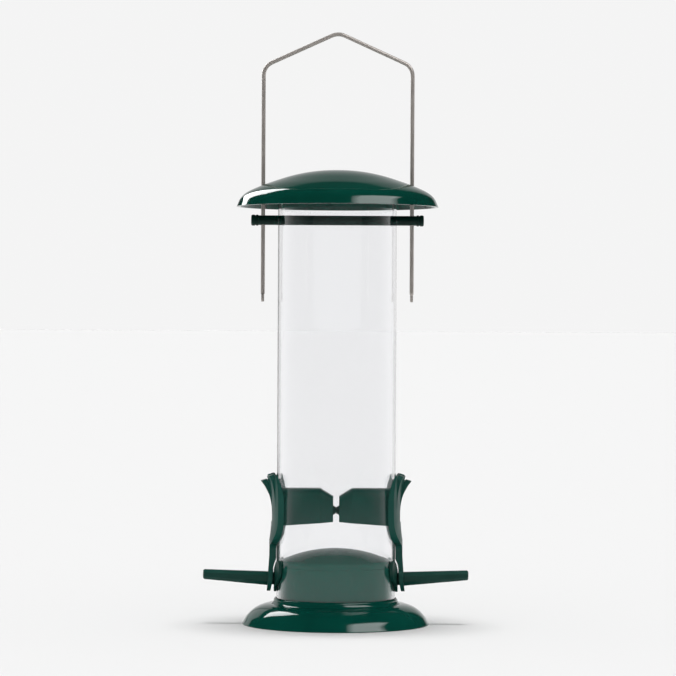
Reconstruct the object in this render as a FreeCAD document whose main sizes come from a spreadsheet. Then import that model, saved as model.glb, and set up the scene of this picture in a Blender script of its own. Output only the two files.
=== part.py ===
import FreeCAD, Part
import math
import os
import re

import Sketcher
from FreeCAD import Placement, Rotation, Vector

# A hanging tube seed feeder: a clear tube stands in a moulded base, a crossbar near its top carries
# a wire bail, a domed lid slides on the bail, and two flower-shaped ports with perches face +X and -X.
# Millimetres, +Z up, the origin on the floor at the middle of the base, the front towards -Y.

SIZES = [
    # name, value in mm or degrees, meaning
    ("tube_radius", 30.0, "outer radius of the clear tube"),
    ("tube_wall", 0.8, "wall of the clear tube"),
    ("tube_bottom", 11.2, "lower edge of the tube, in the groove of the base"),
    ("tube_top", 217.0, "upper edge of the tube"),
    ("hugging_gap", 0.15, "gap between the tube and what wraps round it"),
    # crossbar and its caps
    ("bar_height", 203.7, "height of the crossbar's axis"),
    ("bar_radius", 2.45, "radius of the crossbar"),
    ("bar_reach", 39.9, "half length of the crossbar between its caps"),
    ("cap_reach", 43.6, "outer end of a cap"),
    ("cap_radius", 2.8, "largest radius of a cap"),
    ("spigot_radius", 1.5, "radius of the crossbar's spigot inside a cap"),
    ("spigot_length", 2.4, "length of that spigot"),
    # wire bail
    ("wire_radius", 1.0, "radius of the hanger wire"),
    ("leg_offset", 37.6, "distance of each wire leg from the axis"),
    ("leg_end", 162.6, "lower end of the crimped leg tips"),
    ("shoulder_height", 281.4, "corner where a leg turns towards the peak"),
    ("peak_height", 298.5, "corner of the peak before rounding"),
    ("shoulder_bend", 7.0, "bend radius of the shoulders"),
    ("peak_bend", 8.0, "bend radius of the peak"),
    ("crimp_length", 3.9, "length of the flattened leg tip"),
    ("crimp_width", 3.4, "width of the flattened leg tip"),
    ("crimp_thickness", 1.4, "thickness of the flattened leg tip"),
    ("bar_hole_radius", 1.08, "wire holes in the crossbar"),
    # lid
    ("rim_height", 210.5, "height of the lid's rim"),
    ("lid_radius", 51.0, "radius of the lid's rim"),
    ("lid_rise", 18.7, "height of the dome over its rim"),
    ("lid_wall", 1.8, "wall of the lid"),
    ("lid_hole_radius", 1.35, "wire holes in the lid"),
    ("rib_inner", 28.0, "inner radius of the lid's stop step"),
    ("rib_middle", 30.4, "inner radius of the lid's locating rib"),
    ("rib_outer", 31.9, "outer radius of the lid's locating rib"),
    ("rib_bottom", 213.0, "lower edge of the locating rib"),
    ("stop_height", 217.2, "face of the stop step, just over the tube"),
    # base
    ("foot_radius", 47.2, "radius of the base's foot"),
    ("foot_width", 2.2, "width of the ring the base stands on"),
    ("base_wall", 2.0, "wall of the base"),
    ("crest_radius", 33.8, "crest of the base's shoulder"),
    ("crest_height", 10.3, "height of that crest"),
    ("neck_radius", 31.0, "outer radius of the collar round the tube"),
    ("neck_top", 13.1, "top of that collar"),
    ("plug_radius", 29.0, "radius of the plug inside the tube"),
    ("plug_ledge", 28.8, "height of the small ledge round the plug"),
    ("plug_shoulder", 30.9, "height where the plug's side turns into its dome"),
    ("dome_height", 38.1, "top of the plug's dome"),
    ("socket_radius", 4.1, "perch sockets in the plug"),
    # ports
    ("waist_radius", 32.75, "outer radius of a port at its waist"),
    ("waist_height", 54.0, "height of that waist"),
    ("stem_radius", 33.7, "outer radius of a port's stem"),
    ("stem_inside", 30.45, "inner radius of a port's stem"),
    ("stem_half_width", 4.2, "half width of a port's stem"),
    ("eye_radius", 6.3, "outer radius of the eyelet at the foot of the stem"),
    ("eye_hole_radius", 3.9, "hole of that eyelet"),
    ("shield_half_width", 15.3, "half width of the port's shield"),
    ("mouth_half_width", 5.4, "half width of the feeding hole in the shield"),
    ("hood_half_width", 9.0, "half width of the hood inside the tube"),
    ("hood_wall", 1.5, "wall of the hood"),
    ("hood_top", 68.4, "top of the hood"),
    ("hood_bottom", 50.0, "lower edge of the hood at the tube"),
    ("hood_lift", 1.7, "rise of the hood's lower edge towards the axis"),
    ("hood_corner", 4.8, "rounding of the hood's top corners"),
    ("hood_outer_end", 30.6, "where the hood joins the shield"),
    ("nose_start", 8.1, "where the hood starts to taper"),
    ("nose_end", 1.5, "inner end of the hood"),
    ("nose_top", 64.4, "top of the hood's inner end"),
    ("nose_half_width", 6.5, "half width of the hood's inner end"),
    ("clip_height", 57.3, "height of the clip that joins the two hoods"),
    ("clip_radius", 2.6, "radius of the clip at the hood"),
    ("clip_waist", 1.55, "radius of the clip in the middle"),
    ("peg_radius", 1.0, "peg of the clip"),
    ("peg_length", 3.4, "length of that peg past the middle"),
    # perches
    ("perch_height", 22.7, "height of the perch at its root"),
    ("perch_tip_height", 24.7, "height of the perch at its tip"),
    ("perch_root", 33.0, "where the faceted rod starts"),
    ("perch_reach", 67.0, "tip of the perch"),
    ("perch_root_size", 6.9, "height of the rod at its root"),
    ("perch_tip_size", 4.9, "height of the rod at its tip"),
    ("tip_bevel", 0.6, "bevel round the perch's tip"),
    ("perch_neck_radius", 3.1, "neck behind the rod"),
    ("perch_plug_radius", 4.0, "spigot in the socket of the base"),
    ("perch_plug_end", 25.6, "inner end of that spigot"),
    ("leaf_thickness", 1.2, "thickness of the leaf-shaped saddle"),
]
SIZE_NAMES = {name for name, _, _ in SIZES}

# (centre angle, half span, tip radius, tip height, tip thickness) of a port's five petals, degrees and mm
PETALS = [
    (0.0, 9.6, 38.1, 72.2, 2.6),
    (15.7, 6.1, 35.6, 74.9, 2.2),
    (-15.7, 6.1, 35.6, 74.9, 2.2),
    (27.6, 5.8, 33.9, 74.9, 0.5),
    (-27.6, 5.8, 33.9, 74.9, 0.5),
]
FLARE_POWER = 2.8  # how late the petals bend outwards
FLARE_STEPS = (0.35, 0.6, 0.8)  # where their curve is pinned between waist and tip
RIGHT = 0.0
LEFT = 180.0

document = FreeCAD.newDocument("TubeFeeder")
sheet = document.addObject("Spreadsheet::Sheet", "Sizes")
for row, (size_name, size, meaning) in enumerate(SIZES, start=1):
    sheet.set(f"A{row}", size_name)
    sheet.set(f"B{row}", str(size))
    sheet.setAlias(f"B{row}", size_name)
    sheet.set(f"C{row}", meaning)
document.recompute()


# ---- helpers ----------------------------------------------------------------------------------


def cell_expression(text):
    """Turn a formula in the sheet's names into one that any object of the document can hold."""
    return re.sub(r"[a-z_]+", lambda word: f"Sizes.{word[0]}" if word[0] in SIZE_NAMES else word[0], text)


def value(formula):
    """Number that a formula in the sheet's names stands for; numbers pass straight through."""
    if isinstance(formula, str):
        return float(sheet.evalExpression(cell_expression(formula)))
    return float(formula)


def bind(target, path, formula):
    """Set a property to a formula, and keep it tied to the sheet."""
    if isinstance(formula, str):
        target.setExpression(path, cell_expression(formula))
    else:
        setattr(target, path, formula)


def new_body(label):
    body = document.addObject("PartDesign::Body", "Body")
    body.Label = label
    return body


def new_sketch(body, name, plane, offset=0, turn=0):
    """Sketch on one of the body's origin planes, moved along its normal or turned about its upright."""
    sketch = body.newObject("Sketcher::SketchObject", name)
    support = next(item for item in body.Origin.OriginFeatures if item.Role == plane)
    sketch.AttachmentSupport = [(support, "")]
    sketch.MapMode = "FlatFace"
    sketch.AttachmentOffset = Placement(Vector(0, 0, value(offset)), Rotation(Vector(0, 1, 0), turn))
    if isinstance(offset, str):
        sketch.setExpression("AttachmentOffset.Base.z", cell_expression(offset))
    return sketch


def flat(point):
    return Vector(value(point[0]), value(point[1]), 0)


def pin(sketch, line, end, point):
    """Tie one end of a line to its place, as formulas of the sheet."""
    for kind, formula in (("DistanceX", point[0]), ("DistanceY", point[1])):
        index = sketch.addConstraint(Sketcher.Constraint(kind, line, end, value(formula)))
        if isinstance(formula, str):
            sketch.setExpression(f"Constraints[{index}]", cell_expression(formula))


def draw_outline(sketch, outline):
    """Closed outline. A tuple is a corner. A list between two corners makes that edge a curve:
    one point in it gives an arc through the point, more give a smooth curve through them all."""
    corners = [item for item in outline if isinstance(item, tuple)]
    bends = {}
    corner = -1
    for item in outline:
        if isinstance(item, tuple):
            corner += 1
        else:
            bends[corner] = item
    lines = {}
    for index, start in enumerate(corners):
        end = corners[(index + 1) % len(corners)]
        if index not in bends:
            lines[index] = sketch.addGeometry(Part.LineSegment(flat(start), flat(end)), False)
            continue
        points = [flat(point) for point in [start, *bends[index], end]]
        if len(points) == 3:
            curve = Part.Arc(*points)
        else:
            curve = Part.BSplineCurve()
            curve.interpolate(points)
        blocked = sketch.addGeometry(curve, False)
        sketch.addConstraint(Sketcher.Constraint("Block", blocked))
    for index, line in lines.items():
        following = (index + 1) % len(corners)
        pin(sketch, line, 1, corners[index])
        if following in lines:
            sketch.addConstraint(Sketcher.Constraint("Coincident", line, 2, lines[following], 1))
        else:
            pin(sketch, line, 2, corners[following])


def draw_circle(sketch, x, y, radius):
    circle = sketch.addGeometry(Part.Circle(flat((x, y)), Vector(0, 0, 1), value(radius)), False)
    pin(sketch, circle, 3, (x, y))
    size = sketch.addConstraint(Sketcher.Constraint("Radius", circle, value(radius)))
    if isinstance(radius, str):
        sketch.setExpression(f"Constraints[{size}]", cell_expression(radius))


def revolve(body, sketch, name, angle=360.0):
    """Turn a sketch on the XZ plane about the upright axis, half the angle to each side."""
    feature = body.newObject("PartDesign::Revolution", name)
    feature.Profile = sketch
    feature.ReferenceAxis = (sketch, ["V_Axis"])
    feature.Midplane = angle < 360.0
    feature.Angle = angle
    return feature


def pad(body, sketch, name, length, both_ways=False):
    feature = body.newObject("PartDesign::Pad", name)
    feature.Profile = sketch
    feature.SideType = "Symmetric" if both_ways else "One side"
    bind(feature, "Length", length)
    return feature


def cut(body, sketch, name, length=None, both_ways=False, reverse=False):
    """Pocket: through everything where no length is given."""
    document.recompute()
    before = body.Shape.Volume
    feature = body.newObject("PartDesign::Pocket", name)
    feature.Profile = sketch
    feature.SideType = "Symmetric" if both_ways else "One side"
    feature.Reversed = reverse
    if length is None:
        feature.Type = "ThroughAll"
    else:
        feature.Type = "Length"
        bind(feature, "Length", length)
    document.recompute()
    if body.Shape.Volume > before - 1e-3:
        raise RuntimeError(f"{name} removes nothing")
    return feature


def loft(body, sketches, name, kind="PartDesign::AdditiveLoft"):
    feature = body.newObject(kind, name)
    feature.Profile = sketches[0]
    feature.Sections = sketches[1:]
    feature.Ruled = True
    return feature


def mirrored(half):
    """Outline symmetric about its upright axis, from its half on the positive side, top to bottom."""
    other = []
    for item in reversed(half):
        if isinstance(item, list):
            other.append([(f"-({x})", y) for x, y in reversed(item)])
        else:
            other.append((f"-({item[0]})", item[1]))
    return half + other


def trim_to(body, name, outline, reach):
    """Cut away all that lies outside an outline on the YZ plane, from the plane towards +X."""
    sketch = new_sketch(body, f"{name}Outline", "YZ_Plane")
    draw_outline(sketch, outline)
    draw_outline(sketch, [(-reach, 0), (reach, 0), (reach, 2 * reach), (-reach, 2 * reach)])
    cut(body, sketch, name, reverse=True)


def inset(points, distance):
    """Points moved square to the line through them, to its right as it is followed."""
    moved = []
    for index, (x, y) in enumerate(points):
        x0, y0 = points[max(index - 1, 0)]
        x1, y1 = points[min(index + 1, len(points) - 1)]
        step = math.hypot(x1 - x0, y1 - y0)
        moved.append((x + distance * (y1 - y0) / step, y - distance * (x1 - x0) / step))
    return moved


# ---- clear tube -------------------------------------------------------------------------------


def hood_outline(half_width, top, bottom, corner):
    """Upright arch with a flat top and rounded top corners, as formulas."""
    bevel = f"({corner}) * 0.293"
    arc_right = (f"({half_width}) - {bevel}", f"({top}) - {bevel}")
    arc_left = (f"-({half_width}) + {bevel}", f"({top}) - {bevel}")
    return [
        (f"-({half_width})", bottom),
        (f"{half_width}", bottom),
        (f"{half_width}", f"({top}) - ({corner})"),
        [arc_right],
        (f"({half_width}) - ({corner})", top),
        (f"({corner}) - ({half_width})", top),
        [arc_left],
        (f"-({half_width})", f"({top}) - ({corner})"),
    ]


def make_tube():
    body = new_body("feeder_tube")
    wall = new_sketch(body, "TubeWall", "XZ_Plane")
    inner = "tube_radius - tube_wall"
    draw_outline(wall, [
        (inner, "tube_bottom"),
        ("tube_radius", "tube_bottom"),
        ("tube_radius", "tube_top"),
        (inner, "tube_top"),
    ])
    revolve(body, wall, "Tube")
    bar_holes = new_sketch(body, "BarHole", "YZ_Plane")
    draw_circle(bar_holes, 0, "bar_height", "bar_radius + hugging_gap")
    cut(body, bar_holes, "BarHoles", both_ways=True)
    perch_holes = new_sketch(body, "PerchHole", "YZ_Plane")
    draw_circle(perch_holes, 0, "perch_height", "socket_radius + hugging_gap")
    cut(body, perch_holes, "PerchHoles", both_ways=True)
    port_holes = new_sketch(body, "PortHole", "YZ_Plane")
    draw_outline(port_holes, hood_outline(
        "hood_half_width + 2 * hugging_gap",
        "hood_top + 2 * hugging_gap",
        "hood_bottom - 2 * hugging_gap",
        "hood_corner + hugging_gap",
    ))
    cut(body, port_holes, "PortHoles", both_ways=True)


# ---- crossbar, caps and wire bail -------------------------------------------------------------


def make_crossbar():
    body = new_body("crossbar")
    section = new_sketch(body, "BarSection", "YZ_Plane")
    draw_circle(section, 0, "bar_height", "bar_radius")
    pad(body, section, "Bar", "2 * bar_reach", both_ways=True)
    spigots = new_sketch(body, "SpigotSection", "YZ_Plane")
    draw_circle(spigots, 0, "bar_height", "spigot_radius")
    pad(body, spigots, "Spigots", "2 * (bar_reach + spigot_length)", both_ways=True)
    wire_holes = new_sketch(body, "WireHole", "XY_Plane")
    draw_circle(wire_holes, "leg_offset", 0, "bar_hole_radius")
    draw_circle(wire_holes, "-leg_offset", 0, "bar_hole_radius")
    cut(body, wire_holes, "WireHoles", both_ways=True)


def make_cap(label, turn):
    """Barrel-shaped cap with a groove round it, pushed on the crossbar's spigot."""
    body = new_body(label)
    groove = "cap_radius - 0.3"
    bore = "spigot_radius + 0.03"
    profile = new_sketch(body, "CapProfile", "XZ_Plane")
    lift = "bar_height + "
    draw_outline(profile, [
        ("bar_reach", f"{lift}{bore}"),
        ("bar_reach", f"{lift}cap_radius - 0.25"),
        ("bar_reach + 0.3", f"{lift}cap_radius"),
        ("bar_reach + 1.1", f"{lift}cap_radius"),
        ("bar_reach + 1.3", f"{lift}{groove}"),
        ("bar_reach + 1.7", f"{lift}{groove}"),
        ("bar_reach + 1.9", f"{lift}cap_radius"),
        ("cap_reach - 0.8", f"{lift}cap_radius"),
        [("cap_reach - 0.234", f"{lift}cap_radius - 0.234")],
        ("cap_reach", f"{lift}cap_radius - 0.8"),
        ("cap_reach", "bar_height"),
        ("bar_reach + spigot_length + 0.1", "bar_height"),
        ("bar_reach + spigot_length + 0.1", f"{lift}{bore}"),
    ])
    axis = new_sketch(body, "CapAxis", "XZ_Plane")
    height = value("bar_height")
    axis.addGeometry(Part.LineSegment(Vector(0, height, 0), Vector(50, height, 0)), False)
    feature = body.newObject("PartDesign::Revolution", "Cap")
    feature.Profile = profile
    feature.ReferenceAxis = (axis, ["Edge1"])
    feature.Angle = 360.0
    body.Placement = Placement(Vector(0, 0, 0), Rotation(Vector(0, 0, 1), turn))


def rounded_path(sketch, corners):
    """Straight runs joined by tangent arcs, from (x, y, bend radius) corners."""
    start = Vector(corners[0][0], corners[0][1], 0)
    for before, here, after in zip(corners, corners[1:], corners[2:]):
        corner = Vector(here[0], here[1], 0)
        back = (Vector(before[0], before[1], 0) - corner).normalize()
        ahead = (Vector(after[0], after[1], 0) - corner).normalize()
        half = back.getAngle(ahead) / 2
        tangent = here[2] / math.tan(half)
        middle = corner + (back + ahead).normalize() * (here[2] / math.sin(half) - here[2])
        sketch.addGeometry(Part.LineSegment(start, corner + back * tangent), False)
        sketch.addGeometry(Part.Arc(corner + back * tangent, middle, corner + ahead * tangent), False)
        start = corner + ahead * tangent
    end = Vector(corners[-1][0], corners[-1][1], 0)
    sketch.addGeometry(Part.LineSegment(start, end), False)


def make_hanger():
    """Bail bent from one wire: two legs, two sloping shoulders and a peak, the leg tips crimped flat."""
    body = new_body("hanger_wire")
    wire_start = value("leg_end + crimp_length")
    offset = value("leg_offset")
    shoulder = value("shoulder_height")
    path = new_sketch(body, "WirePath", "XZ_Plane")
    rounded_path(path, [
        (-offset, wire_start, 0),
        (-offset, shoulder, value("shoulder_bend")),
        (0, value("peak_height"), value("peak_bend")),
        (offset, shoulder, value("shoulder_bend")),
        (offset, wire_start, 0),
    ])
    section = new_sketch(body, "WireSection", "XY_Plane", offset="leg_end + crimp_length")
    draw_circle(section, "-leg_offset", 0, "wire_radius")
    wire = body.newObject("PartDesign::AdditivePipe", "Wire")
    wire.Profile = section
    wire.Spine = path
    for side in ("-", ""):
        crimp = new_sketch(body, "CrimpOutline", "YZ_Plane", offset=f"{side}leg_offset")
        draw_outline(crimp, mirrored([
            ("wire_radius * 0.8", "leg_end + crimp_length + 0.8"),
            ("crimp_width / 2", "leg_end + crimp_length - 0.7"),
            ("crimp_width / 2", "leg_end + 1"),
            ("crimp_width / 2 - 0.9", "leg_end"),
        ]))
        pad(body, crimp, "Crimp", "crimp_thickness", both_ways=True)


# ---- lid --------------------------------------------------------------------------------------


def make_lid():
    """Domed lid: the outer curve, the same curve set in by the wall, a locating rib and a stop step."""
    body = new_body("lid")
    radius = value("lid_radius")
    rise = value("lid_rise")
    rim = value("rim_height")
    dome = [
        (radius, rim),
        (radius - 0.8, rim + 1.9),
        (radius - 1.8, rim + 4.0),
        (radius - 3.7, rim + 6.1),
        (radius - 5.7, rim + 7.5),
        (radius - 8.4, rim + 8.85),
        (radius * 0.745, rim + rise * 0.579),
        (radius * 0.627, rim + rise * 0.694),
        (radius * 0.51, rim + rise * 0.799),
        (radius * 0.373, rim + rise * 0.895),
        (radius * 0.216, rim + rise * 0.966),
        (radius * 0.06, rim + rise * 0.995),
        (0, rim + rise),
    ]
    underside = inset(dome, -value("lid_wall"))
    underside[0] = (radius - value("lid_wall"), rim)
    underside[-1] = (0, rim + rise - value("lid_wall"))
    profile = new_sketch(body, "DomeProfile", "XZ_Plane")
    draw_outline(profile, [
        dome[0],
        dome[1:-1],
        dome[-1],
        underside[-1],
        list(reversed(underside[1:-1])),
        underside[0],
    ])
    revolve(body, profile, "Dome")
    ribs = new_sketch(body, "RibProfile", "XZ_Plane")
    draw_outline(ribs, [
        ("rib_middle", "rib_bottom"),
        ("rib_outer", "rib_bottom"),
        ("rib_outer", "rim_height + 12.0"),
        ("rib_inner", "rim_height + 13.4"),
        ("rib_inner", "stop_height"),
        ("rib_middle", "stop_height"),
    ])
    revolve(body, ribs, "Ribs")
    holes = new_sketch(body, "LidHole", "XY_Plane")
    for side in ("-", ""):
        draw_circle(holes, f"{side}leg_offset", 0, "lid_hole_radius")
    cut(body, holes, "LidHoles", both_ways=True)


# ---- base -------------------------------------------------------------------------------------


def crown(top):
    """Points of the plug's crown between its shoulder and its top: a cone that rounds over, as formulas."""
    falls = ((0.81, 4.3), (0.62, 2.5), (0.42, 1.15), (0.2, 0.27), (0.07, 0.03))
    return [(f"plug_radius * {reach}", f"{top} - {fall}") for reach, fall in falls]


def make_base():
    """Dish with a skirt, a groove that takes the tube, and a hollow plug with a domed top."""
    body = new_body("base")
    inside = "plug_radius - base_wall"
    profile = new_sketch(body, "BaseProfile", "XZ_Plane")
    draw_outline(profile, [
        ("foot_radius - foot_width", 0),
        ("foot_radius", 0),
        ("foot_radius", 0.4),
        [("foot_radius - 0.6", 1.3), ("foot_radius - 1.7", 3.2), ("foot_radius - 3.4", 5.3),
         ("foot_radius - 6.4", 7.8), ("foot_radius - 10.3", 9.6)],
        ("crest_radius", "crest_height"),
        ("neck_radius + 1.7", "crest_height + 0.1"),
        [("neck_radius + 0.85", "crest_height + 0.75")],
        ("neck_radius + 0.3", "neck_top - 1.1"),
        [("neck_radius + 0.05", "neck_top - 0.3")],
        ("neck_radius - 0.3", "neck_top"),
        ("tube_radius + 0.3", "neck_top - 0.4"),
        ("tube_radius + 0.2", "tube_bottom"),
        ("plug_radius", "tube_bottom"),
        ("plug_radius", "plug_ledge"),
        ("plug_radius - 0.4", "plug_ledge + 0.4"),
        ("plug_radius - 0.4", "plug_shoulder"),
        [("plug_radius - 0.8", "plug_shoulder + 0.9")],
        ("plug_radius - 1.7", "plug_shoulder + 1.5"),
        [*crown("dome_height")],
        (0, "dome_height"),
        (0, "dome_height - base_wall"),
        [*reversed(crown("dome_height - base_wall")[1:])],
        (inside, "plug_shoulder - 1"),
        (inside, "crest_height - base_wall"),
        ("crest_radius - 1", "crest_height - base_wall - 0.2"),
        [("foot_radius - 11.3", 7.3), ("foot_radius - 7.8", 5.75), ("foot_radius - 5.2", 3.6),
         ("foot_radius - 3.3", 1.4)],
    ])
    revolve(body, profile, "Dish")
    sockets = new_sketch(body, "SocketSection", "YZ_Plane")
    draw_circle(sockets, 0, "perch_height", "socket_radius")
    cut(body, sockets, "Sockets", both_ways=True)


# ---- ports ------------------------------------------------------------------------------------


def flare(inner_radius, tip_radius, tip_height):
    """Points on a petal's face between the waist and its tip, which bends outwards near the top."""
    foot = value("waist_height")
    return [
        (inner_radius + (tip_radius - inner_radius) * step**FLARE_POWER, foot + (tip_height - foot) * step)
        for step in FLARE_STEPS
    ]


def add_petal(body, centre, half_span, tip_radius, tip_height, tip_thickness):
    """One petal with its share of the shield and stem below it, as a slice turned about the tube's axis."""
    sketch = new_sketch(body, "PetalProfile", "XZ_Plane", turn=centre)
    hugging = value("tube_radius + hugging_gap")
    waist = value("waist_radius")
    inner_tip = tip_radius - tip_thickness
    foot = "perch_height - eye_radius"
    draw_outline(sketch, [
        ("stem_radius + 1.2", foot),
        ("stem_radius", "perch_height + 12"),
        ("stem_radius", "waist_height - 11.5"),
        [("waist_radius + 0.15", "waist_height - 5")],
        ("waist_radius", "waist_height"),
        flare(waist, tip_radius, tip_height),
        (tip_radius, tip_height),
        (inner_tip, tip_height + 0.8),
        list(reversed(flare(hugging, inner_tip, tip_height + 0.8))),
        ("tube_radius + hugging_gap", "waist_height"),
        ("tube_radius + hugging_gap", "waist_height - 10"),
        ("stem_inside", "waist_height - 13"),
        ("stem_inside", "perch_height + 10"),
        ("stem_inside + 1.0", "perch_height + 7.5"),
        ("stem_inside + 1.5", "perch_height + 5"),
        ("stem_inside + 2.65", foot),
    ])
    revolve(body, sketch, "Petal", 2 * half_span)


def flower_outline():
    """Front of a port as seen along X: five lobes, a shield, a stem and an eyelet round the perch."""
    arc = math.acos(value("stem_half_width / eye_radius"))
    eye_side = ("stem_half_width", f"perch_height + eye_radius * {math.sin(arc)}")
    return mirrored([
        (0, 73.6),
        [("3.4", "72.6")],
        ("5.6", "69.8"),
        [("6.5", "73.9"), ("9.2", "76.4"), ("11.6", "75.0")],
        ("12.7", "72.2"),
        [("13.9", "73.4")],
        ("shield_half_width", "75.2"),
        [("shield_half_width + 0.4", "69"), ("shield_half_width", "56"), ("shield_half_width - 0.7", "49"),
         ("shield_half_width - 3.6", "43.4")],
        ("stem_half_width + 2.6", "40.6"),
        [("stem_half_width + 0.76", "39.2")],
        ("stem_half_width", "36.8"),
        eye_side,
        [("eye_radius", "perch_height")],
        (0, "perch_height - eye_radius"),
    ])


def close_halves(outline):
    """Drop the corners that a mirrored outline repeats on its axis."""
    kept = [item for item in outline[:-1] if not (isinstance(item, tuple) and item[0] in ("-(0)", "-0"))]
    return kept


def add_hood(body):
    """Hood that shelters the feeding hole inside the tube, with a tapered nose, open underneath."""
    shell = new_sketch(body, "HoodSection", "YZ_Plane", offset="nose_start")
    outer = hood_outline("hood_half_width", "hood_top", "hood_bottom", "hood_corner")
    draw_outline(shell, outer)
    pad(body, shell, "Hood", "hood_outer_end - nose_start")
    nose_root = new_sketch(body, "NoseRoot", "YZ_Plane", offset="nose_start")
    draw_outline(nose_root, outer)
    nose_tip = new_sketch(body, "NoseTip", "YZ_Plane", offset="nose_end")
    draw_outline(nose_tip, hood_outline("nose_half_width", "nose_top", "hood_bottom", "hood_corner * 0.7"))
    loft(body, [nose_root, nose_tip], "Nose")
    hollow_start = new_sketch(body, "HollowStart", "YZ_Plane", offset="nose_start")
    narrow = "hood_half_width - hood_wall"
    draw_outline(hollow_start, hood_outline(
        narrow, "hood_top - hood_wall", "hood_bottom - 1", "hood_corner - hood_wall",
    ))
    hollow_end = new_sketch(body, "HollowEnd", "YZ_Plane", offset="nose_end + hood_wall")
    draw_outline(hollow_end, hood_outline(
        "nose_half_width - hood_wall * 0.7",
        "nose_top - hood_wall * 0.8",
        "hood_bottom - 1",
        "hood_corner * 0.5",
    ))
    loft(body, [hollow_start, hollow_end], "NoseHollow", "PartDesign::SubtractiveLoft")
    hollow = new_sketch(body, "HollowSection", "YZ_Plane", offset="nose_start")
    draw_outline(hollow, hood_outline(
        narrow, "hood_top - hood_wall", "hood_bottom - 1", "hood_corner - hood_wall",
    ))
    cut(body, hollow, "Hollow", "tube_radius - tube_wall - 2 - nose_start", reverse=True)
    mouth = new_sketch(body, "MouthSection", "YZ_Plane", offset="tube_radius - tube_wall - 2.1")
    draw_outline(mouth, hood_outline(
        "mouth_half_width", "hood_top - hood_wall", "hood_bottom + hood_wall", "hood_corner - hood_wall",
    ))
    cut(body, mouth, "Mouth", reverse=True)
    slope = new_sketch(body, "SlopeOutline", "XZ_Plane")
    draw_outline(slope, [
        (0, "hood_bottom - 1"),
        ("tube_radius - 4", "hood_bottom - 1"),
        ("tube_radius - 4", "hood_bottom"),
        ("nose_end", "hood_bottom + hood_lift"),
        (0, "hood_bottom + hood_lift"),
    ])
    cut(body, slope, "Slope", both_ways=True)


def add_clip(body, has_peg):
    """Half of the hourglass clip between the two hoods: a cone with a peg, or with a bore for it."""
    cone_root = new_sketch(body, "ClipRoot", "YZ_Plane", offset="nose_end + 0.2")
    draw_circle(cone_root, 0, "clip_height", "clip_radius")
    cone_tip = new_sketch(body, "ClipTip", "YZ_Plane", offset="0.02")
    draw_circle(cone_tip, 0, "clip_height", "clip_waist")
    loft(body, [cone_root, cone_tip], "ClipCone")
    if has_peg:
        peg = new_sketch(body, "PegSection", "YZ_Plane", offset="-peg_length")
        draw_circle(peg, 0, "clip_height", "peg_radius")
        pad(body, peg, "Peg", "peg_length + nose_end")
    else:
        bore = new_sketch(body, "BoreSection", "YZ_Plane")
        draw_circle(bore, 0, "clip_height", "peg_radius + 0.05")
        cut(body, bore, "Bore", "peg_length + 0.6", reverse=True)


def make_port(label, turn, has_peg):
    body = new_body(label)
    for petal in PETALS:
        add_petal(body, *petal)
    trim_to(body, "Flower", close_halves(flower_outline()), reach=60)
    eye = new_sketch(body, "EyeSection", "YZ_Plane")
    draw_circle(eye, 0, "perch_height", "eye_hole_radius")
    cut(body, eye, "Eye", reverse=True)
    add_hood(body)
    add_clip(body, has_peg)
    body.Placement = Placement(Vector(0, 0, 0), Rotation(Vector(0, 0, 1), turn))


# ---- perches ----------------------------------------------------------------------------------


def octagon(centre_height, across_flats):
    """Corners of an upright octagon on the YZ plane, as formulas."""
    reach = 0.5 / math.cos(math.pi / 8)
    corners = []
    for corner in range(8):
        angle = math.pi / 8 + corner * math.pi / 4
        corners.append((
            f"({across_flats}) * {reach * math.cos(angle):.5f}",
            f"({centre_height}) + ({across_flats}) * {reach * math.sin(angle):.5f}",
        ))
    return corners


def leaf_outline():
    """Saddle against the tube: two leaves that rise from the perch, and a short tail below it."""
    return mirrored([
        (0, "perch_height + 4.4"),
        [("4.4", "perch_height + 5.9"), ("8.0", "perch_height + 8.0")],
        ("11.8", "perch_height + 9.9"),
        [("13.3", "perch_height + 5.9"), ("12.6", "perch_height + 2.0"), ("9.8", "perch_height - 1.2")],
        ("5.2", "perch_height - 3.4"),
        ("2.6", "perch_height - eye_radius"),
    ])


def make_perch(label, turn):
    """Faceted rod on a neck, a leaf-shaped saddle that hugs the tube, and a spigot into the base."""
    body = new_body(label)
    saddle = new_sketch(body, "SaddleProfile", "XZ_Plane")
    inner = "tube_radius + hugging_gap"
    draw_outline(saddle, [
        (inner, "perch_height - eye_radius"),
        (f"{inner} + leaf_thickness", "perch_height - eye_radius"),
        (f"{inner} + leaf_thickness", "perch_height + 10.5"),
        (inner, "perch_height + 10.5"),
    ])
    revolve(body, saddle, "Saddle", 54.0)
    trim_to(body, "Leaves", close_halves(leaf_outline()), reach=45)
    spigot = new_sketch(body, "PerchPlugSection", "YZ_Plane", offset="perch_plug_end")
    draw_circle(spigot, 0, "perch_height", "perch_plug_radius")
    pad(body, spigot, "PerchPlug", f"{inner} + leaf_thickness * 0.4 - perch_plug_end")
    neck = new_sketch(body, "NeckSection", "YZ_Plane", offset="tube_radius")
    draw_circle(neck, 0, "perch_height", "perch_neck_radius")
    pad(body, neck, "Neck", "perch_root - tube_radius + 0.5")
    sections = []
    for name, offset, height, across_flats in (
        ("RodRoot", "perch_root", "perch_height", "perch_root_size"),
        ("RodEnd", "perch_reach - tip_bevel", "perch_tip_height", "perch_tip_size"),
        ("RodTip", "perch_reach", "perch_tip_height", "perch_tip_size - 2 * tip_bevel"),
    ):
        section = new_sketch(body, name, "YZ_Plane", offset=offset)
        draw_outline(section, octagon(height, across_flats))
        sections.append(section)
    loft(body, sections, "Rod")
    body.Placement = Placement(Vector(0, 0, 0), Rotation(Vector(0, 0, 1), turn))


# ---- the whole feeder -------------------------------------------------------------------------


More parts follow.
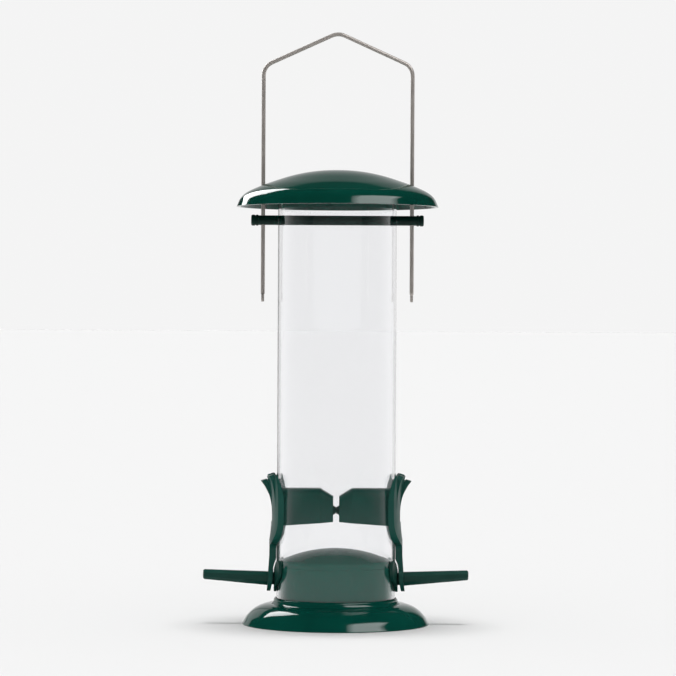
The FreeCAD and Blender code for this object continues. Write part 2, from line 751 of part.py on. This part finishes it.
def write_parts():
    """Check every object and write each sub-part under its own name."""
    document.recompute()
    for item in document.Objects:
        if "Invalid" in item.State or "Error" in item.State:
            raise RuntimeError(f"{item.Label} failed: {item.State}")
    os.makedirs("parts", exist_ok=True)
    for body in document.Objects:
        if body.TypeId != "PartDesign::Body":
            continue
        if body.Shape.isNull() or not body.Shape.isValid() or len(body.Shape.Solids) != 1:
            raise RuntimeError(f"{body.Label} is not one valid solid")
        body.Shape.exportStep(f"parts/{body.Label}.step")
        print(f"{body.Label}: {body.Shape.Volume:.0f} mm3, box {body.Shape.BoundBox}")


make_tube()
make_crossbar()
make_cap("crossbar_cap_right", RIGHT)
make_cap("crossbar_cap_left", LEFT)
make_hanger()
make_lid()
make_base()
make_port("port_right", RIGHT, has_peg=True)
make_port("port_left", LEFT, has_peg=False)
make_perch("perch_right", RIGHT)
make_perch("perch_left", LEFT)
write_parts()
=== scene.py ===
import math

import bpy
from mathutils import Euler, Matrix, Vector

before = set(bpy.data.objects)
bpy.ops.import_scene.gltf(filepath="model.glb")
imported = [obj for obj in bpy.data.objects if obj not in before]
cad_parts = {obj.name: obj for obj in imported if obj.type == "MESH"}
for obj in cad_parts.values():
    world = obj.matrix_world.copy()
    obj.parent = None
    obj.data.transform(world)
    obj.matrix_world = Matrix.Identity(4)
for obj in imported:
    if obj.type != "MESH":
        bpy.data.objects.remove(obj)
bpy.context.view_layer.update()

# A hanging tube seed feeder, empty, standing on a white studio floor with its bail up.
# Metres, +Z up, the front towards -Y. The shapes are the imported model's; this script gives them their
# materials, the studio and the camera.

WHITE = 0.9065  # linear value of the plain background
WHITE_THROUGH = 1.02  # the same as seen through the clear tube, which takes some of it away

# ---- small shader helper ------------------------------------------------------------------------


def rgba(colour, factor=1.0):
    """Opaque colour as a socket takes it, lighter or darker by the factor."""
    return (colour[0] * factor, colour[1] * factor, colour[2] * factor, 1.0)


def grey(level):
    return (level, level, level, 1.0)


class Graph:
    """Adds nodes to a shader tree and joins them: an input given a socket is linked, else it is set."""

    def __init__(self, tree):
        self.tree = tree
        tree.nodes.clear()

    def add(self, kind, inputs=None, **settings):
        node = self.tree.nodes.new(kind)
        for name, setting in settings.items():
            setattr(node, name, setting)
        for name, given in (inputs or {}).items():
            self.feed(node.inputs[name], given)
        return node

    def feed(self, socket, given):
        if isinstance(given, bpy.types.NodeSocket):
            self.tree.links.new(given, socket)
        else:
            socket.default_value = given

    def math(self, operation, first, second=0.0, clamp=False):
        node = self.add("ShaderNodeMath", {0: first, 1: second}, operation=operation, use_clamp=clamp)
        return node.outputs[0]

    def noise(self, coordinates, scale, detail=3.0, roughness=0.5):
        inputs = {"Vector": coordinates, "Scale": scale, "Detail": detail, "Roughness": roughness}
        return self.add("ShaderNodeTexNoise", inputs).outputs["Fac"]

    def stretched(self, coordinates, scale):
        return self.add("ShaderNodeMapping", {"Vector": coordinates, "Scale": scale}).outputs[0]

    def ranged(self, source, low, high, start, end):
        """Source from low..high turned into start..end, and held there."""
        inputs = {"Value": source, "From Min": low, "From Max": high, "To Min": start, "To Max": end}
        return self.add("ShaderNodeMapRange", inputs).outputs[0]

    def ramp(self, source, stops):
        """Grey level that runs through the given (place, level) stops."""
        node = self.add("ShaderNodeValToRGB", {0: source})
        elements = node.color_ramp.elements
        for place, _ in stops[1:-1]:
            elements.new(place)
        for element, (place, level) in zip(elements, stops):
            element.position = place
            element.color = grey(level)
        return node.outputs[0]

    def blend(self, amount, first, second):
        """Mix of two colours, which are the Mix node's inputs 6 and 7 and its output 2."""
        node = self.add("ShaderNodeMix", {0: amount, 6: first, 7: second}, data_type="RGBA")
        return node.outputs[2]

    def bump(self, height, strength, distance, normal=None):
        inputs = {"Height": height, "Strength": strength, "Distance": distance}
        if normal is not None:
            inputs["Normal"] = normal
        return self.add("ShaderNodeBump", inputs).outputs[0]

    def finish(self, shader):
        output = self.add("ShaderNodeOutputMaterial")
        self.tree.links.new(shader, output.inputs["Surface"])


def new_graph(name):
    material = bpy.data.materials.new(name)
    material.use_nodes = True
    return material, Graph(material.node_tree)


# ---- materials ----------------------------------------------------------------------------------

# Noise scales are in cells per metre: one number for all directions, or one each for X, Y and Z.

PLASTIC_IOR = 1.49
EDGE_RADIUS = 0.0003  # softening of every moulded edge
FLOW_SCALE = 45.0
SCRATCH_SCALES = (900.0, 900.0, 60.0)
SCRATCH_ROUGHNESS = 0.12  # roughness that the hair scratches add
WEAR_SCALE = 160.0
WAVE_SCALE = 55.0
WAVE_HEIGHT = 0.0008
GRAIN_HEIGHT = 0.0002
DULL_STEP = 0.0006  # height over which a polished moulding turns dull and is painted paler
DULLER_BY = 0.16  # roughness added where it is dull
PAINTED_PALER_BY = 1.7  # how many times paler its colour is painted there, as painted light

# Roughness where least and most worn, scale of the grain, and strengths of the grain and of the waves
POLISHED = {"roughness": (0.05, 0.1), "grain": 700.0, "grain_depth": 0.004, "wave_depth": 0.008}
SATIN = {"roughness": (0.32, 0.46), "grain": 1500.0, "grain_depth": 0.12, "wave_depth": 0.06}
FINE_SATIN = {"roughness": (0.3, 0.42), "grain": 1800.0, "grain_depth": 0.12, "wave_depth": 0.06}


def moulded_plastic(name, colour, roughness, grain, grain_depth, wave_depth, ior=PLASTIC_IOR,
                    painted_pale_and_dull_above=None):
    """Coloured moulded plastic: faint flow marks, fine grain, hair scratches and softened edges.

    Above a given height, in metres, it is duller, and its colour is painted paler there as painted light.
    """
    material, graph = new_graph(name)
    place = graph.add("ShaderNodeTexCoord").outputs["Object"]
    flow = graph.noise(place, FLOW_SCALE, detail=4.0)
    mottled_and_painted_light = graph.blend(graph.ranged(flow, 0.3, 0.7, 0.0, 1.0), rgba(colour, 0.9), rgba(colour, 1.12))
    scratch_lines = graph.noise(graph.stretched(place, SCRATCH_SCALES), scale=1.0, detail=2.0)
    scratches = graph.ranged(scratch_lines, 0.66, 0.78, 0.0, SCRATCH_ROUGHNESS)
    wear = graph.noise(place, WEAR_SCALE, detail=5.0, roughness=0.6)
    worn = graph.ranged(wear, 0.3, 0.75, *roughness)
    if painted_pale_and_dull_above is not None:
        height = graph.add("ShaderNodeSeparateXYZ", {0: place}).outputs["Z"]
        dull_and_painted_pale = graph.ranged(height, painted_pale_and_dull_above, painted_pale_and_dull_above + DULL_STEP, 0.0, 1.0)
        worn = graph.math("ADD", worn, graph.math("MULTIPLY", dull_and_painted_pale, DULLER_BY))
        # Painted light: above that height the colour is painted paler, in place of light.
        mottled_and_painted_light = graph.blend(dull_and_painted_pale, mottled_and_painted_light, rgba(colour, PAINTED_PALER_BY))
    rounded = graph.add("ShaderNodeBevel", {"Radius": EDGE_RADIUS}, samples=4).outputs[0]
    skin = graph.bump(graph.noise(place, grain, detail=2.0), grain_depth, GRAIN_HEIGHT, rounded)
    waves = graph.bump(graph.noise(place, WAVE_SCALE, detail=1.0), wave_depth, WAVE_HEIGHT, skin)
    shader = graph.add("ShaderNodeBsdfPrincipled", {
        "Base Color": mottled_and_painted_light,
        "Roughness": graph.math("ADD", worn, scratches, clamp=True),
        "IOR": ior,
        "Normal": waves,
    })
    graph.finish(shader.outputs[0])
    return material


WIRE_DARK = (0.5, 0.455, 0.42)
WIRE_LIGHT = (0.66, 0.615, 0.58)
WIRE_METAL = 0.55  # share of the wire's look that is metal, the rest being matt
WIRE_ROUGHNESS = (0.34, 0.44)
HAZE_ROUGHNESS = 0.1  # roughness that the haze adds
HAZE_SCALE = 120.0
DRAW_MARK_SCALES = (2600.0, 2600.0, 35.0)


def drawn_wire(name):
    """Dull nickel-plated steel wire, part mirror and part matt, with marks along it and hazy patches."""
    material, graph = new_graph(name)
    place = graph.add("ShaderNodeTexCoord").outputs["Object"]
    draw_marks = graph.noise(graph.stretched(place, DRAW_MARK_SCALES), scale=1.0, detail=4.0)
    haze = graph.noise(place, HAZE_SCALE, detail=4.0)
    colour = graph.blend(haze, rgba(WIRE_DARK), rgba(WIRE_LIGHT))
    roughness = graph.math(
        "ADD",
        graph.ranged(draw_marks, 0.3, 0.7, *WIRE_ROUGHNESS),
        graph.ranged(haze, 0.45, 0.7, 0.0, HAZE_ROUGHNESS),
    )
    shader = graph.add("ShaderNodeBsdfPrincipled", {
        "Base Color": colour,
        "Metallic": WIRE_METAL,
        "Roughness": roughness,
        "Normal": graph.bump(draw_marks, strength=0.01, distance=0.0001),
    })
    graph.finish(shader.outputs[0])
    return material


POLYCARBONATE_IOR = 1.585
TUBE_TINT = (0.982, 0.984, 0.992)
TUBE_SHADE = (0.93, 0.935, 0.935)  # share of the lamps' light that the tube lets through
SMEAR_ROUGHNESS = 0.012  # roughness of the tube where it is most smeared
SMEAR_SCALES = (60.0, 60.0, 18.0)
DRAW_LINE_SCALES = (140.0, 140.0, 1.6)


def clear_tube(name):
    """Clear polycarbonate with faint lines up its length. Lamps and diffuse light go through unbent."""
    material, graph = new_graph(name)
    place = graph.add("ShaderNodeTexCoord").outputs["Object"]
    draw_lines = graph.noise(graph.stretched(place, DRAW_LINE_SCALES), scale=1.0, detail=2.0)
    smears = graph.noise(graph.stretched(place, SMEAR_SCALES), scale=1.0, detail=4.0)
    glass = graph.add("ShaderNodeBsdfPrincipled", {
        "Base Color": rgba(TUBE_TINT),
        "Roughness": graph.ranged(smears, 0.45, 0.75, 0.0, SMEAR_ROUGHNESS),
        "IOR": POLYCARBONATE_IOR,
        "Transmission Weight": 1.0,
        "Normal": graph.bump(draw_lines, strength=0.05, distance=0.0005),
    })
    open_air = graph.add("ShaderNodeBsdfTransparent", {"Color": rgba(TUBE_SHADE)})
    path = graph.add("ShaderNodeLightPath").outputs
    lit_through = graph.math("MAXIMUM", path["Is Shadow Ray"], path["Is Diffuse Ray"])
    mixed = graph.add("ShaderNodeMixShader", {0: lit_through, 1: glass.outputs[0], 2: open_air.outputs[0]})
    graph.finish(mixed.outputs[0])
    return material


def dress(node, material):
    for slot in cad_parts[node].material_slots:
        slot.material = material


GLOSS_GREEN = (0.0008, 0.043, 0.030)
# Painted light: the base has the lid's gloss green painted lighter, to make up for the dimmer light on its
# sloping sides.
BASE_GREEN_PAINTED_LIT = (0.001, 0.066, 0.048)
PORT_GREEN = (0.008, 0.08, 0.062)
PERCH_GREEN = (0.004, 0.056, 0.042)
BAR_GREEN = (0.0005, 0.022, 0.016)
PLUG_FOOT = 0.0135  # height at which the base's duller plug, painted paler as painted light, begins, just above its collar

gloss_green = moulded_plastic("gloss_green", GLOSS_GREEN, **POLISHED)
# Painted light: the base is painted lighter than the lid, and its plug paler still above PLUG_FOOT.
base_green_painted_lit = moulded_plastic("base_green_painted_lit", BASE_GREEN_PAINTED_LIT, **POLISHED, painted_pale_and_dull_above=PLUG_FOOT)
# Satin plastic mirrors less than polished plastic, so it gets a lower IOR than its own.
port_green = moulded_plastic("port_green", PORT_GREEN, **FINE_SATIN, ior=1.32)
perch_green = moulded_plastic("perch_green", PERCH_GREEN, **SATIN, ior=1.38)
bar_green = moulded_plastic("bar_green", BAR_GREEN, **SATIN, ior=1.35)
wire = drawn_wire("wire")
tube = clear_tube("clear_tube")

DRESSING = {
    "hanger_wire": wire,
    "lid": gloss_green,
    "base": base_green_painted_lit,
    "crossbar": bar_green,
    "crossbar_cap_left": bar_green,
    "crossbar_cap_right": bar_green,
    "feeder_tube": tube,
    "port_left": port_green,
    "port_right": port_green,
    "perch_left": perch_green,
    "perch_right": perch_green,
}
for node_name, finish in DRESSING.items():
    dress(node_name, finish)


# ---- studio -------------------------------------------------------------------------------------

# What a mirror sees of the backdrop and of the room, by the upward part of the direction
BACKDROP_LEVELS = [(0.0, 0.9), (0.2, 0.55), (0.35, 0.42), (0.6, 0.22), (0.643, 0.03)]
ROOM_LEVELS = [(0.0, 0.02), (0.3, 0.015), (1.0, 0.015)]
# What it sees along the horizon, from the front (0) past the sides (0.5) to the back (1)
HORIZON_LEVELS = [(0.0, 0.01), (0.15, 0.02), (0.5, 0.2), (0.65, 0.45), (0.82, 0.85), (1.0, 0.8)]
HORIZON_FADE = (0.06, 0.16)  # upward part over which the horizon's light dies away
# Where the backdrop's left side fades in and its right side fades out, as sideways part over backward part
BACKDROP_LEFT = (-0.285, -0.255)
BACKDROP_RIGHT = (0.34, 0.44)
AMBIENT = (0.4, 0.55)  # diffuse light from low down and from overhead
FLOOR_HALF = 40.0  # half the floor's width
FLOOR_MATT = 0.7553  # share of the light that the floor gives back
FLOOR_MIRRORED = 0.4  # level of the floor near the object, as a mirror sees it
FLOOR_FADE = (0.25, 1.3)  # distance from the object over which that dies away


def horizon(graph, back):
    """Level along the horizon for a direction's backward part, from -1 in front to 1 behind."""
    return graph.ramp(graph.ranged(back, -1.0, 1.0, 0.0, 1.0), HORIZON_LEVELS)


def mirrored_rays(graph):
    """1 where the light's path has met a mirror-like surface and no matt one, 0 elsewhere."""
    path = graph.add("ShaderNodeLightPath").outputs
    direct = graph.math("ADD", path["Diffuse Depth"], path["Is Diffuse Ray"])
    return graph.math("MULTIPLY", graph.math("GREATER_THAN", path["Glossy Depth"], 0.5),
                      graph.math("LESS_THAN", direct, 0.5))


def seen_through(graph):
    """1 where the eye looks straight through the clear tube, 0 elsewhere."""
    path = graph.add("ShaderNodeLightPath").outputs
    bounced = graph.math("ADD", path["Glossy Depth"], path["Diffuse Depth"])
    return graph.math("MULTIPLY", path["Is Transmission Ray"], graph.math("LESS_THAN", bounced, 0.5))


def make_world():
    """White to the eye. A mirror sees a lit backdrop behind the object, a dim room and a light horizon."""
    world = bpy.data.worlds.new("studio")
    bpy.context.scene.world = world
    world.use_nodes = True
    graph = Graph(world.node_tree)
    way = graph.add("ShaderNodeTexCoord").outputs["Generated"]
    axes = graph.add("ShaderNodeSeparateXYZ", {0: way}).outputs
    side = graph.math("DIVIDE", axes["X"], graph.math("MAXIMUM", axes["Y"], 0.001))
    from_left = graph.ranged(side, *BACKDROP_LEFT, 0.0, 1.0)
    from_right = graph.ranged(side, *BACKDROP_RIGHT, 1.0, 0.0)
    behind = graph.math("GREATER_THAN", axes["Y"], 0.0)
    on_backdrop = graph.math("MULTIPLY", behind, graph.math("MULTIPLY", from_left, from_right))
    backdrop = graph.ramp(axes["Z"], BACKDROP_LEVELS)
    room = graph.ramp(axes["Z"], ROOM_LEVELS)
    low = graph.ranged(axes["Z"], *HORIZON_FADE, 1.0, 0.0)
    all_round = graph.blend(low, room, horizon(graph, axes["Y"]))
    mirror_view = graph.blend(on_backdrop, all_round, backdrop)
    ambient = graph.ranged(axes["Z"], -0.2, 1.0, *AMBIENT)
    to_mirror = graph.blend(mirrored_rays(graph), ambient, mirror_view)
    path = graph.add("ShaderNodeLightPath").outputs
    to_eye = graph.blend(path["Is Camera Ray"], to_mirror, grey(WHITE))
    light = graph.blend(seen_through(graph), to_eye, grey(WHITE_THROUGH))
    background = graph.add("ShaderNodeBackground", {"Color": light, "Strength": 1.0})
    output = graph.add("ShaderNodeOutputWorld")
    graph.tree.links.new(background.outputs[0], output.inputs["Surface"])


def make_floor():
    """Pale matt floor out to the horizon, where it meets the background at nearly the same white.

    A mirror sees it glow instead, faintly near the object and with the horizon's light further out.
    """
    mesh = bpy.data.meshes.new("floor")
    corners = [(x * FLOOR_HALF, y * FLOOR_HALF, 0) for x, y in ((-1, -1), (1, -1), (1, 1), (-1, 1))]
    mesh.from_pydata(corners, [], [(0, 1, 2, 3)])
    floor = bpy.data.objects.new("floor", mesh)
    bpy.context.scene.collection.objects.link(floor)
    material, graph = new_graph("floor")
    through = graph.math("MULTIPLY", seen_through(graph), WHITE_THROUGH - WHITE)
    glow = graph.add("ShaderNodeEmission", {"Color": grey(1.0), "Strength": through})
    matt = graph.add("ShaderNodeBsdfDiffuse", {"Color": grey(FLOOR_MATT)})
    both = graph.add("ShaderNodeAddShader", {0: glow.outputs[0], 1: matt.outputs[0]})
    place = graph.add("ShaderNodeTexCoord").outputs["Object"]
    reach = graph.add("ShaderNodeVectorMath", {0: place}, operation="LENGTH").outputs["Value"]
    way = graph.add("ShaderNodeVectorMath", {0: place}, operation="NORMALIZE").outputs["Vector"]
    back = graph.add("ShaderNodeSeparateXYZ", {0: way}).outputs["Y"]
    near = graph.ranged(reach, *FLOOR_FADE, FLOOR_MIRRORED, 0.0)
    mirrored = graph.add("ShaderNodeEmission", {
        "Color": grey(1.0), "Strength": graph.math("MAXIMUM", near, horizon(graph, back)),
    })
    mixed = graph.add("ShaderNodeMixShader", {
        0: mirrored_rays(graph), 1: both.outputs[0], 2: mirrored.outputs[0],
    })
    graph.finish(mixed.outputs[0])
    mesh.materials.append(material)


def make_sun(name, strength, spread, elevation, azimuth):
    """Even soft light over the whole floor, from a sun that is spread degrees wide.

    Azimuth 0 comes from the front and 90 from the right, in degrees like the elevation.
    """
    light = bpy.data.lights.new(name, "SUN")
    light.energy = strength
    light.angle = math.radians(spread)
    sun = bpy.data.objects.new(name, light)
    sun.rotation_euler = Euler((math.radians(90 - elevation), 0, math.radians(azimuth)))
    sun.visible_glossy = False
    bpy.context.scene.collection.objects.link(sun)


def make_panel(name, corner, across, down, strength, soft_edge):
    """Glowing panel that only mirrors see, given by a corner and the edges that leave it.

    It fades out over soft_edge of its width and height at each side.
    """
    mesh = bpy.data.meshes.new(name)
    start = Vector(corner)
    corners = [start, start + Vector(across), start + Vector(across) + Vector(down), start + Vector(down)]
    mesh.from_pydata(corners, [], [(0, 1, 2, 3)])
    panel = bpy.data.objects.new(name, mesh)
    for kind in ("camera", "diffuse", "transmission", "shadow", "volume_scatter"):
        setattr(panel, f"visible_{kind}", False)
    bpy.context.scene.collection.objects.link(panel)
    material, graph = new_graph(name)
    place = graph.add("ShaderNodeTexCoord").outputs["Generated"]
    spot = graph.add("ShaderNodeSeparateXYZ", {0: place}).outputs
    level = strength
    for axis in ("X", "Z"):
        from_middle = graph.math("ABSOLUTE", graph.math("SUBTRACT", spot[axis], 0.5))
        from_edge = graph.math("SUBTRACT", 0.5, from_middle)
        level = graph.math("MULTIPLY", graph.ranged(from_edge, 0.0, soft_edge, 0.0, 1.0), level)
    glow = graph.add("ShaderNodeEmission", {"Color": grey(1.0), "Strength": level})
    graph.finish(glow.outputs[0])
    mesh.materials.append(material)


make_world()
make_floor()
make_sun("overhead_left", strength=1.05, spread=12, elevation=84, azimuth=-125)
make_sun("overhead_right", strength=1.05, spread=12, elevation=84, azimuth=125)
make_sun("front_fill", strength=0.42, spread=100, elevation=15, azimuth=0)
make_panel(
    "left_window", corner=(-0.42, 0.375, 0.715), across=(0.255, 0.0, 0.0), down=(0.0, 0.0, -0.39),
    strength=7.0, soft_edge=0.02,
)
make_panel(
    "left_card", corner=(-0.35, 0.375, 0.27), across=(0.23, 0.0, 0.0), down=(0.0, 0.0, -0.22),
    strength=0.6, soft_edge=0.1,
)
make_panel(
    "right_panel", corner=(0.16, -0.35, 0.923), across=(0.615, 0.503, 0.0), down=(0.06, -0.46, -0.213),
    strength=5.0, soft_edge=0.2,
)


# ---- camera -------------------------------------------------------------------------------------

CAMERA_PLACE = (0.0005, -1.525, 0.1534)
CAMERA_DIP = 0.34  # degrees below level that it looks
CAMERA_ROLL = -0.29  # degrees
LENS_MM = 160.7
SENSOR_MM = 36.0


def make_camera():
    data = bpy.data.cameras.new("camera")
    data.lens = LENS_MM
    data.sensor_width = SENSOR_MM
    data.clip_start = 0.05
    data.clip_end = 200.0
    camera = bpy.data.objects.new("camera", data)
    camera.location = CAMERA_PLACE
    camera.rotation_euler = (math.radians(90 - CAMERA_DIP), math.radians(CAMERA_ROLL), 0.0)
    bpy.context.scene.collection.objects.link(camera)
    bpy.context.scene.camera = camera


make_camera()
bpy.context.scene.view_settings.view_transform = "Standard"
